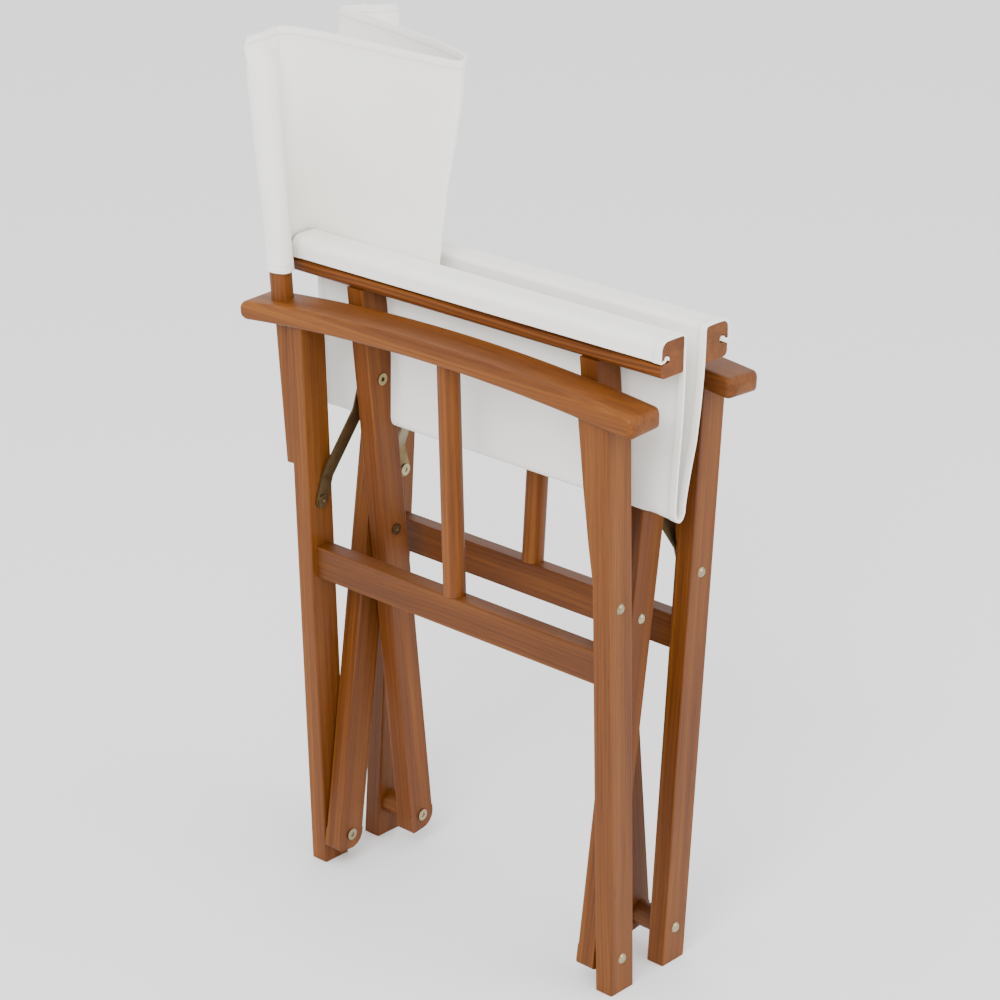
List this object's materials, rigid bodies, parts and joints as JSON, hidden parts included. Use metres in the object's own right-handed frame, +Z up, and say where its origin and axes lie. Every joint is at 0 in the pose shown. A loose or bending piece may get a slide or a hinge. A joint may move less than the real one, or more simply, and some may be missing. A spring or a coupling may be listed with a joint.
{
  "type": "folding director's chair",
  "caption": "Folding director's chair with wooden side frames, crossed legs, strip links, a canvas seat slung between two rails and a canvas back on two posts, shown folded",
  "frame": {"origin": "centre of the bounding box in X and Y, on the floor under the four feet", "axes": "+Z up; X is the width the chair opens along, near side frame at -X; -Y is the front of the chair and +Y the back"},
  "size_m": [0.2016, 0.4822, 0.8452],
  "materials": {
    "wood_frame": "satin lacquer over an orange-brown stain, straight grain",
    "canvas": "off-white plain-woven canvas with stitched hems",
    "brass_fittings": "brushed pale brass",
    "wood_rail": "satin lacquer over a red-brown stain, straight grain",
    "link_bronze": "dark bronzed strip"
  },
  "bodies": {
    "near_frame": {"near_rear_leg": "wood_frame", "near_front_leg": "wood_frame", "near_armrest": "wood_frame", "near_stretcher": "wood_frame", "near_spindle": "wood_frame", "near_back_post": "wood_frame", "near_back_sleeve": "canvas", "near_link_bolts": "brass_fittings", "near_foot_bolts": "brass_fittings", "near_post_screws": "brass_fittings"},
    "far_frame": {"far_rear_leg": "wood_frame", "far_front_leg": "wood_frame", "far_armrest": "wood_frame", "far_stretcher": "wood_frame", "far_spindle": "wood_frame", "far_back_post": "wood_frame", "far_back_sleeve": "canvas", "far_link_bolts": "brass_fittings", "far_foot_bolts": "brass_fittings", "far_foot_spacers": "wood_frame", "far_post_screws": "brass_fittings"},
    "cross_a": {"cross_a_rear": "wood_frame", "cross_a_front": "wood_frame", "far_seat_rail": "wood_rail", "far_hem_rod": "canvas", "far_seat_wrap": "canvas", "centre_bolts": "brass_fittings", "centre_washers": "brass_fittings", "near_foot_washers": "brass_fittings", "far_link_nuts": "brass_fittings", "far_rail_screws": "brass_fittings"},
    "cross_b": {"cross_b_rear": "wood_frame", "cross_b_front": "wood_frame", "near_seat_rail": "wood_rail", "near_hem_rod": "canvas", "near_seat_wrap": "canvas", "near_link_nuts": "brass_fittings", "near_rail_screws": "brass_fittings"},
    "near_link": {"near_link_rear": "link_bronze", "near_link_front": "link_bronze", "near_link_studs": "brass_fittings"},
    "far_link": {"far_link_rear": "link_bronze", "far_link_front": "link_bronze", "far_link_studs": "brass_fittings"},
    "near_seat": {"near_seat_panel": "canvas"},
    "far_seat": {"far_seat_panel": "canvas"},
    "near_back": {"near_back_panel": "canvas"},
    "far_back": {"far_back_panel": "canvas"},
    "back_flap": {"far_back_flap": "canvas"}
  },
  "joints": [
    {"name": "unfold", "type": "hinge", "parent": "near_frame", "child": "cross_a", "pos_m": [-0.0394, -0.01175, 0.03476], "axis": [0, 1, 0], "range_deg": [0, 35]},
    {"name": "cross_pivot", "type": "hinge", "parent": "cross_a", "child": "cross_b", "pos_m": [0, -0.01175, 0.36038], "axis": [0, 1, 0], "range_deg": [-70, 0]},
    {"name": "far_foot_pivot", "type": "hinge", "parent": "cross_b", "child": "far_frame", "pos_m": [0.0394, -0.01175, 0.03476], "axis": [0, 1, 0], "range_deg": [0, 35]},
    {"name": "near_link_pivot", "type": "hinge", "parent": "near_frame", "child": "near_link", "pos_m": [-0.05739, -0.01175, 0.39472], "axis": [0, 1, 0], "range_deg": [0, 71.53]},
    {"name": "far_link_pivot", "type": "hinge", "parent": "far_frame", "child": "far_link", "pos_m": [0.05739, -0.01175, 0.39472], "axis": [0, 1, 0], "range_deg": [-71.53, 0]},
    {"name": "seat_hang", "type": "hinge", "parent": "cross_b", "child": "near_seat", "pos_m": [-0.01503, -0.01175, 0.64618], "axis": [0, 1, 0], "range_deg": [-47.02, 0], "deforming": ["near_seat_panel"]},
    {"name": "seat_crease", "type": "hinge", "parent": "near_seat", "child": "far_seat", "pos_m": [0, -0.01175, 0.47032], "axis": [0, 1, 0], "range_deg": [0, 164.03], "deforming": ["far_seat_panel"]},
    {"name": "back_near_turn", "type": "hinge", "parent": "near_frame", "child": "near_back", "pos_m": [-0.0311, 0.2191, 0.73225], "axis": [-0.1222, 0.0155, 0.9924], "range_deg": [0, 84.2], "deforming": ["near_back_panel"]},
    {"name": "back_tip", "type": "hinge", "parent": "near_back", "child": "far_back", "pos_m": [-0.01435, 0.03245, 0.7191], "axis": [-0.0369, -0.0879, 0.9954], "range_deg": [-162.81, 0], "deforming": ["far_back_panel"]},
    {"name": "back_tuck", "type": "hinge", "parent": "far_back", "child": "back_flap", "pos_m": [0.0226, 0.24385, 0.7323], "axis": [0.0645, -0.024, 0.9976], "range_deg": [0, 117.2], "deforming": ["far_back_flap"]}
  ],
  "couplings": [
    {"joint": "cross_pivot", "follows": "unfold", "ratio": -2},
    {"joint": "far_foot_pivot", "follows": "unfold", "ratio": 1},
    {"joint": "near_link_pivot", "follows": "unfold", "ratio": 2.0435},
    {"joint": "far_link_pivot", "follows": "unfold", "ratio": -2.0435},
    {"joint": "seat_hang", "follows": "unfold", "ratio": -1.3432},
    {"joint": "seat_crease", "follows": "unfold", "ratio": 4.6864},
    {"joint": "back_near_turn", "follows": "unfold", "ratio": 2.4057},
    {"joint": "back_tip", "follows": "unfold", "ratio": -4.6514},
    {"joint": "back_tuck", "follows": "unfold", "ratio": 3.3486}
  ]
}
